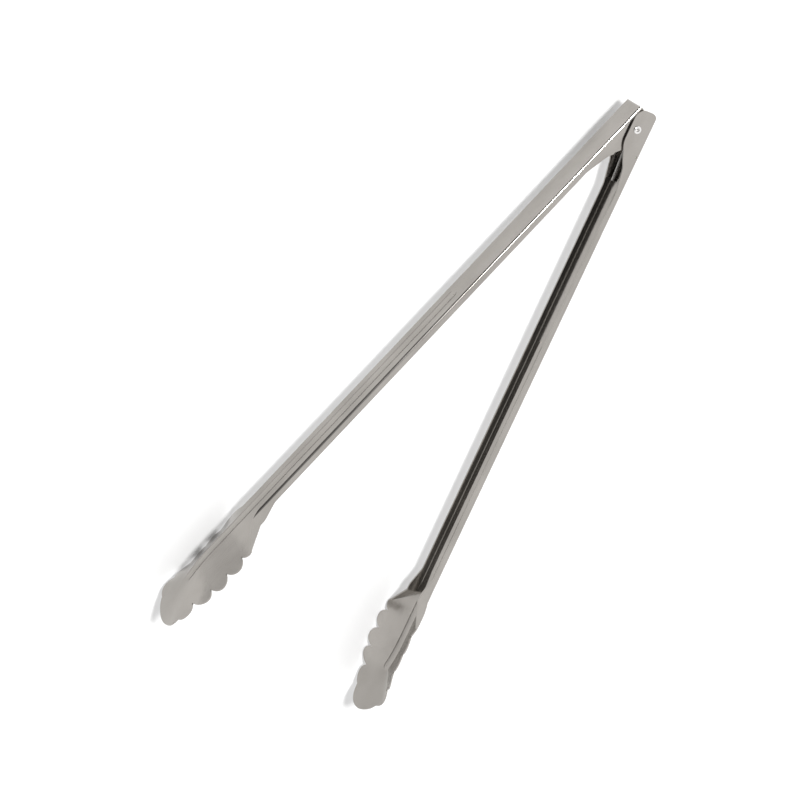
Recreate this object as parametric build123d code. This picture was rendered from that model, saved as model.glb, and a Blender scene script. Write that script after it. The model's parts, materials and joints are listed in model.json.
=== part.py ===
from build123d import *
import math
import os

# Spring loaded kitchen tongs, lying on their side with the arms fully open.
#
# Each arm is modelled along +X, with the pivot axis on Z at the origin and the arm's outer face
# (its web) towards +Y, then swung open about the pivot. The finished tongs are centred over
# the origin and stand on Z = 0. Distances called "depth" are measured inwards from the web's
# outer face.

# --- the arms: one bent sheet each -----------------------------------------------------------
sheet = 1.0  # thickness of the stainless sheet
arm_width = 15.8  # over the two flanges
pivot_to_tip = 396.5
pivot_depth = 9.8
flange_depth = 4.5
bend_radius = 1.6  # outside of the bend between web and flange
half_opening = 11.4  # degrees between each arm and the centre line when open

# --- the head: deep flanges that make the hinge ears ------------------------------------------
head_reach = 12.0  # how far the outer arm goes past the pivot
head_round = 6.0  # at the ears' free corner
outer_back_round = 5.0  # at the web's end
inner_head_reach = 10.6  # the inner arm's squarer head end
inner_back_round = 1.8
ear_depth = 15.0
ear_full_to = 9.5  # the ears are full depth as far as this along the arm
ear_taper_knee = (23.0, 7.6)  # distance along the arm, depth
ear_taper_end = 38.0
ear_taper_round = 12.0
joggle = 1.4  # how far the inner arm's ears are stepped in under the outer ears
joggle_wall = 1.2  # width of that step
step_start = (2.0, 1.9)  # distance along the arm, depth
step_knee = (11.0, 5.0)
step_end = (22.5, 11.3)
ear_mark_at = (15.2, 2.4)  # small dimple by the outer arm's back edge
ear_mark_radius = 0.6

# --- the rib pressed into the web -------------------------------------------------------------
rib_start = 142.0
rib_end = 365.5
rib_half_width = 2.9
rib_depth = 0.9
rib_overlap = 0.5  # the rib's caps start this far outside the face they are pressed into

# --- the scoop -------------------------------------------------------------------------------
dish_start = 305.0  # the web starts to open into the wings here
neck_at = 315.5  # the flanges turn outwards here, into the lips along the shoulders
neck_flange_from = 300.0  # the flanges start to deepen towards the neck
neck_flange_full = 312.0
neck_flange_depth = 8.4
neck_flange_round = 8.0
wing_corner = (329.3, 19.2)  # distance along the arm, half width
spine_bend_start = 345.0
spine_radius = 130.0  # the scoop's centre line curls inwards towards the tip
wing_slope = 0.53  # of the flat wings, outwards from the rib's edge
wing_slope_full = 335.0
wing_slope_fades = (358.0, 390.0)  # the wings flatten out between these stations
wing_curve_grows = (355.0, 380.0)  # they turn from flat to curved between these
band_half_width = 22.0  # the scoop sheet before its edge is cut
band_end = 398.0
band_sections = 14
band_depth = 14.0  # deeper than the lips
first_valley = 335.8
valley_pitch = 12.9
valleys = 5
widest_at = 345.0
valley_half_width = 16.9
scoop_reach = 69.0  # half length of the ellipse the valleys lie on
tooth_rise = 0.9  # height of the small tooth beside the wing's corner
scallop_rise = 4.1  # height of a scallop over the line between its valleys

# --- rivet and spring ------------------------------------------------------------------------
rivet_radius = 1.9
running_clearance = 0.05
rivet_head_radius = 3.4
rivet_head_height = 1.0
rolled_head_radius = 2.45
rolled_head_height = 0.8
rolled_head_round = 0.65
rivet_hollow_radius = 1.05
rivet_hollow_depth = 2.5
wire_radius = 1.0
coil_radius = 4.6  # to the middle of the wire
coil_height = 7.3  # between the middles of the two end turns
coil_full_turns = 3
leg_reach = 34.0  # how far each spring leg lies along its arm
leg_clearance = 0.15  # between a leg and its arm's web

half_width = arm_width / 2
far = 60.0  # longer than any cut needs to reach


def inwards(depth):
    """Y of a point at this depth below the web's outer face."""
    return pivot_depth - depth


def cross_plane(station):
    """Plane across the arm: local x is Y, local y is Z."""
    return Plane(origin=(station, 0, 0), x_dir=(0, 1, 0), z_dir=(1, 0, 0))


# --- channel ---------------------------------------------------------------------------------
def channel_block(width, radius, start, end):
    """Solid bar from the web inwards, with the two bends rounded."""
    block = Pos(inwards(far / 2), 0) * Rectangle(far, width)
    bends = block.vertices().sort_by(Axis.X)[-2:]
    return extrude(cross_plane(start) * fillet(bends, radius), end - start)


def channel(width, start, end):
    """Sheet channel with a web towards +Y and two flanges deeper than any ear."""
    outside = channel_block(width, bend_radius, start, end)
    inside = channel_block(width - 2 * sheet, bend_radius - sheet, start, end)
    return outside - Pos(0, -sheet, 0) * inside


def arm_side(reach, back_radius):
    """Side view of an arm's channel: head, ears, shallow flange and the deeper flange at the neck."""
    knee_at, knee_depth = ear_taper_knee
    corners = [
        ((-reach, 0), back_radius),
        ((-reach, ear_depth), head_round),
        ((ear_full_to, ear_depth), ear_taper_round),
        ((knee_at, knee_depth), ear_taper_round),
        ((ear_taper_end, flange_depth), ear_taper_round),
        ((neck_flange_from, flange_depth), neck_flange_round),
        ((neck_flange_full, neck_flange_depth), neck_flange_round),
    ]
    ends = [(neck_at, neck_flange_depth), (neck_at, 0)]
    points = [corner for corner, radius in corners] + ends
    side = make_face(Polyline(*[(station, inwards(depth)) for station, depth in points], close=True))
    for (station, depth), radius in corners:
        side = round_corner(side, (station, inwards(depth)), radius)
    return side


def round_corner(face, point, radius):
    """Fillet the face's corner nearest to a point."""
    corner = face.vertices().sort_by_distance(Vector(*point, 0))[0]
    return fillet(corner, radius)


def slab(face):
    """A side view carried right across the arm."""
    return extrude(face, far, both=True)


# --- scoop -----------------------------------------------------------------------------------
def ease(share):
    """0 to 1 with level ends."""
    share = min(max(share, 0.0), 1.0)
    return share * share * (3 - 2 * share)


def spine_depth(station):
    """Depth of the scoop's centre line."""
    run = max(station - spine_bend_start, 0.0)
    return spine_radius - math.sqrt(spine_radius**2 - run**2)


def share_between(station, start, end):
    """0 before the start, 1 past the end, and eased between them."""
    return ease((station - start) / (end - start))


def slope_at(station):
    """The wings' slope: flat web at the neck, full slope, and flat again at the tip."""
    opening = share_between(station, dish_start, wing_slope_full)
    closing = share_between(station, *wing_slope_fades)
    return wing_slope * opening * (1 - closing)


def wing_curve(station, depth, side):
    """From the edge of the rib to the edge of the band: straight, or a parabola near the tip."""
    span = band_half_width - rib_half_width
    edge_drop = slope_at(station) * span
    straightness = 1 - share_between(station, *wing_curve_grows)
    return Bezier(
        (inwards(depth), side * rib_half_width),
        (inwards(depth + edge_drop / 2 * straightness), side * (rib_half_width + span / 2)),
        (inwards(depth + edge_drop), side * band_half_width),
    )


def band_section(station, thickness):
    """The scoop's section from its outer face to a thickness inwards, before its edge is cut."""
    edges = []
    for depth in (spine_depth(station), spine_depth(station) + thickness):
        right = wing_curve(station, depth, 1)
        left = wing_curve(station, depth, -1)
        edges += [left, Line(left @ 0, right @ 0), right]
    for side_curve in (0, 2):
        edges.append(Line(edges[side_curve] @ 1, edges[side_curve + 3] @ 1))
    return cross_plane(station) * make_face(edges)


def band(thickness):
    """Everything that lies within a thickness inwards of the scoop's outer face."""
    pitch = (band_end - dish_start) / (band_sections - 1)
    stations = [dish_start + index * pitch for index in range(band_sections)]
    return loft([band_section(station, thickness) for station in stations])


def scallop(start, end, rise):
    """Arc that stands out of the chord between two valleys."""
    chord = Vector(*end) - Vector(*start)
    outwards = Vector(-chord.Y, chord.X).normalized()
    middle = Vector(*start) + chord / 2 + outwards * rise
    return ThreePointArc(start, middle, end)


def valley_point(index):
    station = first_valley + index * valley_pitch
    share = (station - widest_at) / scoop_reach
    return station, valley_half_width * math.sqrt(1 - share**2)


def scoop_outline():
    """Plan view of the scoop: straight shoulders, scalloped sides and a round tip."""
    edge_points = [valley_point(index) for index in range(valleys)]
    web_edge = (dish_start, half_width - bend_radius)
    half = [
        Line((dish_start, 0), web_edge),
        Line(web_edge, (neck_at, half_width)),
        Line((neck_at, half_width), wing_corner),
        scallop(wing_corner, edge_points[0], tooth_rise),
    ]
    for start, end in zip(edge_points, edge_points[1:]):
        half.append(scallop(start, end, scallop_rise))
    last = edge_points[-1]
    tip = ThreePointArc(last, (pivot_to_tip, 0), (last[0], -last[1]))
    whole = half + [tip] + [mirror(edge, about=Plane.XZ) for edge in half]
    return make_face(whole)


def shoulder_lips():
    """Plan view of the lips that carry the two flanges on along the shoulders."""
    start = Vector(neck_at, half_width)
    end = Vector(*wing_corner)
    along = (end - start).normalized()
    inner = Vector(along.Y, -along.X) * sheet
    root = (neck_at, half_width - sheet)
    lip = make_face(Polyline(start, end, end + inner, start + inner, root, close=True))
    return lip + mirror(lip, about=Plane.XZ)


def scoop():
    """The sheet past the neck, with the lips that stand along its shoulders."""
    cutter = extrude(Plane.XZ * scoop_outline(), far, both=True)
    lip_edge = Plane.XZ.offset(-inwards(neck_flange_depth))
    lips = extrude(lip_edge * shoulder_lips(), -far)
    return (band(sheet) & cutter) + (lips & band(band_depth))


# --- rib -------------------------------------------------------------------------------------
def cap_profile(station, extra_radius, crown_depth):
    """The rib's section: a shallow circular cap with its crown inwards."""
    radius = (rib_half_width**2 + rib_depth**2) / (2 * rib_depth) + extra_radius
    chord_depth = crown_depth - rib_depth - rib_overlap
    half_chord = math.sqrt(radius**2 - (chord_depth - crown_depth + radius) ** 2)
    arc = ThreePointArc(
        (inwards(chord_depth), -half_chord),
        (inwards(crown_depth), 0),
        (inwards(chord_depth), half_chord),
    )
    return cross_plane(station) * make_face([arc, Line(arc @ 1, arc @ 0)])


def rib_solid(extra_radius, crown_depth):
    """The rib's cap carried along the web and round the start of the scoop's curl."""
    first = cap_profile(rib_start, extra_radius, crown_depth)
    last = cap_profile(spine_bend_start, extra_radius, crown_depth)
    curl_axis = Axis((spine_bend_start, inwards(spine_radius), 0), (0, 0, -1))
    curl = math.degrees(math.asin((rib_end - spine_bend_start) / spine_radius))
    straight = extrude(first, spine_bend_start - rib_start)
    curled = revolve(last, curl_axis, curl)
    far_cap = rib_end_cap(last, spine_bend_start).rotate(curl_axis, curl)
    return rib_end_cap(first, rib_start) + straight + curled + far_cap


def rib_end_cap(profile, station):
    """The cap turned about its own middle, for a round end."""
    upright = Axis((station, 0, 0), (0, 1, 0))
    half = profile & (cross_plane(station) * Pos(0, far / 2) * Rectangle(far, far))
    return revolve(half, upright, 360)


# --- arms ------------------------------------------------------------------------------------
def pressed(blank):
    """Press the rib into a flat arm: a ridge inside and a groove outside."""
    ridge = rib_solid(sheet, sheet + rib_depth)
    groove = rib_solid(0, rib_depth)
    return blank + ridge - groove


def rivet_hole(radius):
    return Cylinder(radius, far)


def neck(side):
    """The last of the channel, where the web starts to open into the wings."""
    return channel(arm_width, dish_start, neck_at) & side & band(band_depth)


def make_outer_arm():
    """The arm whose ears lie outside."""
    side = slab(arm_side(head_reach, outer_back_round))
    blank = (channel(arm_width, -head_reach, dish_start) & side) + neck(side) + scoop()
    mark_at = (ear_mark_at[0], inwards(ear_mark_at[1]), half_width)
    return pressed(blank) - rivet_hole(rivet_radius) - Pos(*mark_at) * Sphere(ear_mark_radius)


def stepped_in(margin):
    """Side view of where the inner arm's ears lie stepped in, grown by a margin."""
    points = [(-far, inwards(step_start[1] - margin))]
    for station, depth in (step_start, step_knee):
        points.append((station, inwards(depth - margin)))
    points.append((step_end[0] + margin, inwards(step_end[1])))
    points.append((step_end[0] + margin, inwards(far)))
    points.append((-far, inwards(far)))
    return slab(make_face(Polyline(*points, close=True)))


def step_layers():
    """The layer at each side of the arm that the step's wall fills."""
    thickness = joggle + sheet
    layer = Box(2 * far, 2 * far, thickness)
    height = half_width - thickness / 2
    return Pos(0, 0, height) * layer + Pos(0, 0, -height) * layer


def make_inner_arm():
    """The arm whose ears are stepped in to lie between the outer arm's ears."""
    side = slab(arm_side(inner_head_reach, inner_back_round))
    full = channel(arm_width, -inner_head_reach, dish_start) & side
    narrow = channel(arm_width - 2 * joggle, -inner_head_reach, ear_taper_end) & side
    wall = (stepped_in(joggle_wall) - stepped_in(0)) & side & step_layers()
    wall = wall & channel_block(arm_width, bend_radius, -inner_head_reach, dish_start)
    blank = (full - stepped_in(0)) + (narrow & stepped_in(joggle_wall)) + wall
    return pressed(blank + neck(side) + scoop()) - rivet_hole(rivet_radius + running_clearance)


def swung(arm, side):
    """Put an arm at its open angle: side 1 is towards +Y, side -1 is mirrored."""
    if side < 0:
        arm = mirror(arm, about=Plane.XZ)
    return arm.rotate(Axis.Z, side * half_opening)


# --- rivet and spring ------------------------------------------------------------------------
def make_rivet():
    """Shank through the four ears, a domed factory head below and a rolled head on top."""
    shank = Cylinder(rivet_radius, arm_width)
    dome_radius = (rivet_head_radius**2 + rivet_head_height**2) / (2 * rivet_head_height)
    dome = Pos(0, 0, dome_radius - rivet_head_height - half_width) * Sphere(dome_radius)
    head_disc = Cylinder(rivet_head_radius, rivet_head_height)
    head = dome & Pos(0, 0, -half_width - rivet_head_height / 2) * head_disc
    rolled_disc = Cylinder(rolled_head_radius, rolled_head_height)
    rolled = Pos(0, 0, half_width + rolled_head_height / 2) * rolled_disc
    rolled = fillet(rolled.edges().sort_by(Axis.Z)[-1], rolled_head_round)
    hollow_middle = half_width + rolled_head_height - rivet_hollow_depth / 2
    hollow = Pos(0, 0, hollow_middle) * Cylinder(rivet_hollow_radius, rivet_hollow_depth)
    return shank + head + rolled - hollow


def make_spring():
    """Torsion spring: a coil round the rivet and a leg along the inside of each arm.

    The lower leg lies on the outer arm and the upper one on the inner arm. Each leg is a
    tangent from its end on the web to the coil.
    """
    leg_depth = sheet + wire_radius + leg_clearance
    leg_end = Vector(leg_reach, inwards(leg_depth))
    leg_angle = math.degrees(math.atan2(leg_end.Y, leg_end.X)) + half_opening
    leave_angle = leg_angle + math.degrees(math.acos(coil_radius / leg_end.length))
    turns = coil_full_turns + 1 - leave_angle / 180
    pitch = coil_height / turns
    coil = Helix(pitch, coil_height, coil_radius).rotate(Axis.Z, leave_angle)
    coil = Pos(0, 0, -coil_height / 2) * coil
    end = leg_end.rotate(Axis.Z, half_opening)
    lower_leg = Line((end.X, end.Y, -coil_height / 2), coil @ 0)
    upper_leg = Line(coil @ 1, (end.X, -end.Y, coil_height / 2))
    path = Wire([lower_leg, *coil.edges(), upper_leg])
    wire_end = Plane(origin=path @ 0, z_dir=path % 0) * Circle(wire_radius)
    return sweep(wire_end, path)


def main():
    os.makedirs("parts", exist_ok=True)
    pieces = {
        "outer_arm": swung(make_outer_arm(), 1),
        "inner_arm": swung(make_inner_arm(), -1),
        "pivot_rivet": make_rivet(),
        "torsion_spring": make_spring(),
    }
    box = pieces["outer_arm"].bounding_box()
    for piece in pieces.values():
        box = box.add(piece.bounding_box())
    footprint = Pos(-box.center().X, -box.center().Y, -box.min.Z)
    for name, piece in pieces.items():
        export_step(footprint * piece, f"parts/{name}.step")
    print("pivot axis at X, Y, middle Z:", *[round(value, 3) for value in footprint.position])
    print("box:", *[round(value, 2) for value in box.size])


main()
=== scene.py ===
import json
import math

import bpy
from mathutils import Matrix, Vector


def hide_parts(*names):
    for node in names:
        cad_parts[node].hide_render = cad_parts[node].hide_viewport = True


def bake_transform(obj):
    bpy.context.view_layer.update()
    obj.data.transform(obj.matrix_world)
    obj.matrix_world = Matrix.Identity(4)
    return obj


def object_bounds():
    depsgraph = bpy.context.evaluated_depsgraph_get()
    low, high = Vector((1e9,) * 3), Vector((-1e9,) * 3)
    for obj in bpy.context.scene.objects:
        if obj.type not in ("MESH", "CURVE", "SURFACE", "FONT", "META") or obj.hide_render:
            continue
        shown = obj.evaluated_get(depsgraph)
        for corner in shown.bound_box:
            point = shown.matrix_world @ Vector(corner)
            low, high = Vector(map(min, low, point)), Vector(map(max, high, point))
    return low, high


# Spring loaded kitchen tongs. The arms and the rivet are the CAD nodes with procedural steel on
# them; the spring is a mesh of its own that twists between the two arms. Metres throughout, with
# the studio's and the camera's angles in degrees.

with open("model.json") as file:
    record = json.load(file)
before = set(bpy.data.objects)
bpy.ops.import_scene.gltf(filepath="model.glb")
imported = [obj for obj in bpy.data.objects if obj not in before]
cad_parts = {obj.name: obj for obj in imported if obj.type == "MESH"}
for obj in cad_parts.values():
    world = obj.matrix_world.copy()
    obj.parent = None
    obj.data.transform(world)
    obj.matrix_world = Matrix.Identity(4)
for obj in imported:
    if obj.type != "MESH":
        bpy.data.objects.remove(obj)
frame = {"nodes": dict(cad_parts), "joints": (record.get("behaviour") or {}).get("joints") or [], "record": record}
cad_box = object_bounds()

# --- the hinge, from the frame ---------------------------------------------------------------
HINGE = Vector(frame["joints"][0]["pos_m"])
OUTER_WEB_NORMAL = Vector(frame["record"]["mounts"][0]["axis"])
HALF_OPENING = math.atan2(-OUTER_WEB_NORMAL.x, OUTER_WEB_NORMAL.y)  # radians

# --- the spring, as in the CAD model ---------------------------------------------------------
WIRE_RADIUS = 0.0010
COIL_RADIUS = 0.0046  # to the middle of the wire
COIL_HEIGHT = 0.0073  # between the middles of the two end turns
COIL_FULL_TURNS = 3
LEG_REACH = 0.034  # how far each leg lies along its arm
LEG_DEPTH = 0.00215  # from the web's outer face to the middle of a leg
PIVOT_DEPTH = 0.0098  # from the web's outer face to the hinge axis
STEPS_PER_TURN = 48
WIRE_ROUNDNESS = 6  # bevel resolution of the wire's section

# --- studio ----------------------------------------------------------------------------------
FLOOR_HALF_SIZE = 4.0
FLOOR_GAP = 0.0002  # below the tongs' lowest edge
PHOTOGRAPHER = (-13, 54)  # azimuth and elevation of the dark side of the room
DARK_WITHIN = 8  # degrees from the photographer
PALE_BEYOND = 62
PALE_STRENGTH = 1.25
DARK_STRENGTH = 0.04

# --- camera ----------------------------------------------------------------------------------
CAMERA_TARGET = HINGE + Vector((0.20653, -0.02627, 0))
CAMERA_AZIMUTH = -12.7
CAMERA_ELEVATION = 53.97
CAMERA_ROLL = 134.46
CAMERA_DISTANCE = 1.2879
LENS_MM = 99
SENSOR_MM = 36
CLIP_START = 0.05

# Noise between these two values is carried onto the whole of the range that it drives.
NOISE_LOW = 0.3
NOISE_HIGH = 0.7


# --- node helpers ----------------------------------------------------------------------------
def new_material(name):
    material = bpy.data.materials.new(name)
    material.use_nodes = True
    nodes = material.node_tree.nodes
    return material, nodes, material.node_tree.links, nodes["Principled BSDF"]


def stretched_noise(nodes, links, turn, scale):
    """Noise in the piece's own frame, turned about Z, with scale cells to a metre on each axis."""
    place = nodes.new("ShaderNodeTexCoord")
    mapping = nodes.new("ShaderNodeMapping")
    mapping.vector_type = "TEXTURE"
    mapping.inputs["Rotation"].default_value = (0, 0, turn)
    mapping.inputs["Scale"].default_value = [1 / part for part in scale]
    noise = nodes.new("ShaderNodeTexNoise")
    noise.inputs["Scale"].default_value = 1.0
    noise.inputs["Detail"].default_value = 3.0
    links.new(place.outputs["Object"], mapping.inputs["Vector"])
    links.new(mapping.outputs["Vector"], noise.inputs["Vector"])
    return noise.outputs["Fac"]


def spread(nodes, links, value, low, high):
    """A noise value carried onto the range low to high."""
    reach = nodes.new("ShaderNodeMapRange")
    reach.inputs["From Min"].default_value = NOISE_LOW
    reach.inputs["From Max"].default_value = NOISE_HIGH
    reach.inputs["To Min"].default_value = low
    reach.inputs["To Max"].default_value = high
    links.new(value, reach.inputs["Value"])
    return reach.outputs["Result"]


def colour_between(nodes, links, value, low, high):
    """A noise value carried onto the colours between low and high."""
    ramp = nodes.new("ShaderNodeValToRGB")
    ramp.color_ramp.elements[0].position = NOISE_LOW
    ramp.color_ramp.elements[0].color = (*low, 1)
    ramp.color_ramp.elements[1].position = NOISE_HIGH
    ramp.color_ramp.elements[1].color = (*high, 1)
    links.new(value, ramp.inputs["Fac"])
    return ramp.outputs["Color"]


def bumped(nodes, links, value, distance, strength, under=None):
    """Normals bumped by a value, on top of the bumps of another normal if one is given."""
    bump = nodes.new("ShaderNodeBump")
    bump.inputs["Distance"].default_value = distance
    bump.inputs["Strength"].default_value = strength
    links.new(value, bump.inputs["Height"])
    if under is not None:
        links.new(under, bump.inputs["Normal"])
    return bump.outputs["Normal"]


# --- materials -------------------------------------------------------------------------------
def satin_steel(name, turn):
    """Stainless sheet with a fine grain along the arm, which lies turned about Z."""
    material, nodes, links, shader = new_material(name)
    grain = stretched_noise(nodes, links, turn, (25, 2600, 2600))
    bands = stretched_noise(nodes, links, turn, (6, 260, 260))
    clouds = stretched_noise(nodes, links, turn, (35, 60, 60))
    shader.inputs["Metallic"].default_value = 1.0
    tone = colour_between(nodes, links, clouds, (0.315, 0.298, 0.277), (0.375, 0.356, 0.333))
    links.new(tone, shader.inputs["Base Color"])
    links.new(spread(nodes, links, bands, 0.15, 0.21), shader.inputs["Roughness"])
    broad = bumped(nodes, links, bands, distance=0.00004, strength=0.25)
    fine = bumped(nodes, links, grain, distance=0.000012, strength=0.35, under=broad)
    links.new(fine, shader.inputs["Normal"])
    return material


def bright_steel(name):
    """Rivet metal, brighter than the sheet, with fine marks."""
    material, nodes, links, shader = new_material(name)
    marks = stretched_noise(nodes, links, 0, (1500, 1500, 400))
    shader.inputs["Metallic"].default_value = 1.0
    tone = colour_between(nodes, links, marks, (0.66, 0.65, 0.64), (0.74, 0.73, 0.72))
    links.new(tone, shader.inputs["Base Color"])
    links.new(spread(nodes, links, marks, 0.16, 0.26), shader.inputs["Roughness"])
    fine = bumped(nodes, links, marks, distance=0.00003, strength=0.2)
    links.new(fine, shader.inputs["Normal"])
    return material


def drawn_wire(name):
    """Spring wire, a little brighter and rougher than the sheet, with die lines."""
    material, nodes, links, shader = new_material(name)
    lines = stretched_noise(nodes, links, 0, (900, 900, 2500))
    shader.inputs["Metallic"].default_value = 1.0
    tone = colour_between(nodes, links, lines, (0.42, 0.41, 0.40), (0.55, 0.54, 0.53))
    links.new(tone, shader.inputs["Base Color"])
    links.new(spread(nodes, links, lines, 0.2, 0.34), shader.inputs["Roughness"])
    fine = bumped(nodes, links, lines, distance=0.00002, strength=0.2)
    links.new(fine, shader.inputs["Normal"])
    return material


def pale_floor(name):
    """Matt white floor, with a faint glow that lifts its shadows."""
    material, _, _, shader = new_material(name)
    shader.inputs["Base Color"].default_value = (0.8, 0.8, 0.8, 1)
    shader.inputs["Roughness"].default_value = 0.9
    shader.inputs["Specular IOR Level"].default_value = 0.1
    shader.inputs["Emission Color"].default_value = (1, 1, 1, 1)
    shader.inputs["Emission Strength"].default_value = 0.04
    return material


def dress(node, material):
    """Give a CAD node its material."""
    for slot in frame["nodes"][node].material_slots:
        slot.link = "OBJECT"
        slot.material = material


# --- spring ----------------------------------------------------------------------------------
def spring_line():
    """Middle line of the wire about the hinge: lower leg, coil and upper leg."""
    leg_end = Vector((LEG_REACH, PIVOT_DEPTH - LEG_DEPTH))
    leg_angle = math.atan2(leg_end.y, leg_end.x) + HALF_OPENING
    leave_angle = leg_angle + math.acos(COIL_RADIUS / leg_end.length)
    turns = COIL_FULL_TURNS + 1 - leave_angle / math.pi
    steps = round(turns * STEPS_PER_TURN)
    reach = leg_end.length
    low = Vector((reach * math.cos(leg_angle), reach * math.sin(leg_angle), -COIL_HEIGHT / 2))
    coil = []
    for step in range(steps + 1):
        share = step / steps
        angle = leave_angle + share * turns * math.tau
        height = (share - 0.5) * COIL_HEIGHT
        coil.append(Vector((COIL_RADIUS * math.cos(angle), COIL_RADIUS * math.sin(angle), height)))
    high = Vector((low.x, -low.y, -low.z))
    return [low, *coil, high]


def make_spring(material):
    """The spring as one mesh, which twists between the two arms."""
    curve = bpy.data.curves.new("spring_line", "CURVE")
    curve.dimensions = "3D"
    curve.bevel_depth = WIRE_RADIUS
    curve.bevel_resolution = WIRE_ROUNDNESS
    curve.use_fill_caps = True
    points = spring_line()
    spline = curve.splines.new("POLY")
    spline.points.add(len(points) - 1)
    for spot, point in zip(spline.points, points):
        spot.co = (*(HINGE + point), 1)
    line = bpy.data.objects.new("spring_line", curve)
    bpy.context.scene.collection.objects.link(line)
    bpy.context.view_layer.update()
    mesh = bpy.data.meshes.new_from_object(line)
    bpy.data.objects.remove(line)
    spring = bpy.data.objects.new("spring", mesh)
    bpy.context.scene.collection.objects.link(spring)
    for face in mesh.polygons:
        face.use_smooth = True
    mesh.materials.clear()
    mesh.materials.append(material)
    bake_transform(spring)
    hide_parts("torsion_spring")


# --- studio ----------------------------------------------------------------------------------
def direction(azimuth, elevation):
    """Unit vector towards a viewer; azimuth 0 is at -Y and 90 is at +X, in degrees."""
    around = math.radians(azimuth)
    above = math.radians(elevation)
    return Vector((
        math.sin(around) * math.cos(above),
        -math.cos(around) * math.cos(above),
        math.sin(above),
    ))


def make_floor():
    """A flat floor just under the tongs, far wider than the view."""
    size = FLOOR_HALF_SIZE
    mesh = bpy.data.meshes.new("floor")
    corners = [(-size, -size, 0), (size, -size, 0), (size, size, 0), (-size, size, 0)]
    mesh.from_pydata(corners, [], [(0, 1, 2, 3)])
    floor = bpy.data.objects.new("floor", mesh)
    floor.location.z = cad_box[0].z - FLOOR_GAP
    bpy.context.scene.collection.objects.link(floor)
    mesh.materials.append(pale_floor("floor_paint"))


def make_world():
    """Even pale light from all round, falling off to the dark room behind the photographer."""
    world = bpy.data.worlds.new("studio")
    bpy.context.scene.world = world
    world.use_nodes = True
    nodes = world.node_tree.nodes
    links = world.node_tree.links
    place = nodes.new("ShaderNodeTexCoord")
    nearness = nodes.new("ShaderNodeVectorMath")
    nearness.operation = "DOT_PRODUCT"
    nearness.inputs[1].default_value = direction(*PHOTOGRAPHER)
    links.new(place.outputs["Generated"], nearness.inputs[0])
    fall = nodes.new("ShaderNodeMapRange")
    fall.interpolation_type = "SMOOTHSTEP"
    fall.inputs["From Min"].default_value = math.cos(math.radians(PALE_BEYOND))
    fall.inputs["From Max"].default_value = math.cos(math.radians(DARK_WITHIN))
    fall.inputs["To Min"].default_value = PALE_STRENGTH
    fall.inputs["To Max"].default_value = DARK_STRENGTH
    links.new(nearness.outputs["Value"], fall.inputs["Value"])
    background = nodes["Background"]
    background.inputs["Color"].default_value = (1, 1, 1, 1)
    links.new(fall.outputs["Result"], background.inputs["Strength"])


def soft_panel(name, azimuth, elevation, distance, size, power):
    """A square area light that faces the middle of the tongs, with its power in watts."""
    light = bpy.data.lights.new(name, "AREA")
    light.shape = "SQUARE"
    light.size = size
    light.energy = power
    panel = bpy.data.objects.new(name, light)
    towards = direction(azimuth, elevation)
    panel.location = (cad_box[0] + cad_box[1]) / 2 + towards * distance
    panel.rotation_mode = "QUATERNION"
    panel.rotation_quaternion = (-towards).to_track_quat("-Z", "Y")
    bpy.context.scene.collection.objects.link(panel)


def make_camera():
    """Seen from above and beside the inner arm, turned so that the head is up and right."""
    back = direction(CAMERA_AZIMUTH, CAMERA_ELEVATION)
    camera_data = bpy.data.cameras.new("camera")
    camera_data.lens = LENS_MM
    camera_data.sensor_width = SENSOR_MM
    camera_data.clip_start = CLIP_START
    camera = bpy.data.objects.new("camera", camera_data)
    roll = Matrix.Rotation(math.radians(CAMERA_ROLL), 3, "Z")
    turn = (-back).to_track_quat("-Z", "Y").to_matrix() @ roll
    camera.matrix_world = Matrix.Translation(CAMERA_TARGET + back * CAMERA_DISTANCE) @ turn.to_4x4()
    bpy.context.scene.collection.objects.link(camera)
    bpy.context.scene.camera = camera


dress("outer_arm", satin_steel("outer_arm_steel", HALF_OPENING))
dress("inner_arm", satin_steel("inner_arm_steel", -HALF_OPENING))
dress("pivot_rivet", bright_steel("rivet_metal"))
make_spring(drawn_wire("spring_metal"))
make_floor()
make_world()
soft_panel("key", azimuth=-45, elevation=65, distance=1.8, size=0.3, power=27)
make_camera()
bpy.context.scene.view_settings.view_transform = "Standard"
